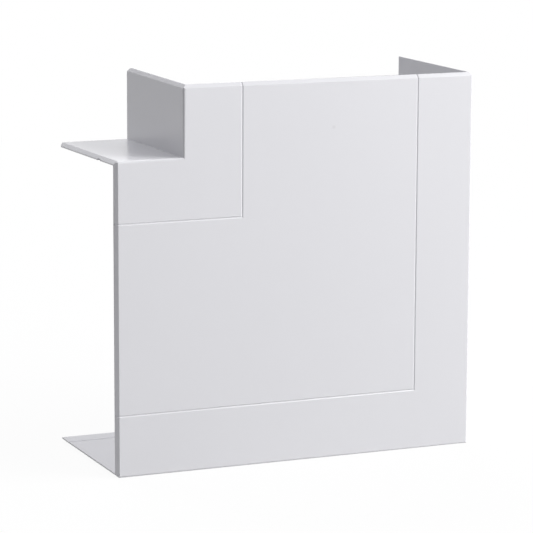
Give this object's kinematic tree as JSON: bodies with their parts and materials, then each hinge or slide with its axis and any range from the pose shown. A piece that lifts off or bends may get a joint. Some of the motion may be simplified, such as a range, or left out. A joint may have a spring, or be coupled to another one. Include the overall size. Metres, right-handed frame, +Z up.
{
  "type": "trunking flat angle",
  "caption": "Square moulded cover for a flat 90 degree turn in wide wall trunking: a grooved front plate with a notch at one corner and side walls that grip the trunking.",
  "frame": {"origin": "middle of the box round the part, at the outer face of the lower side wall, which it stands on", "axes": "+Z up, -Y out of the front plate, +Y towards the wall behind the trunking, -X out of the open end of the horizontal leg; the open end of the other leg faces +Z"},
  "size_m": [0.164, 0.07, 0.164],
  "materials": {
    "white_plastic": "smooth satin white moulding"
  },
  "bodies": {
    "root": {"flat_angle_cover": "white_plastic"}
  },
  "joints": []
}
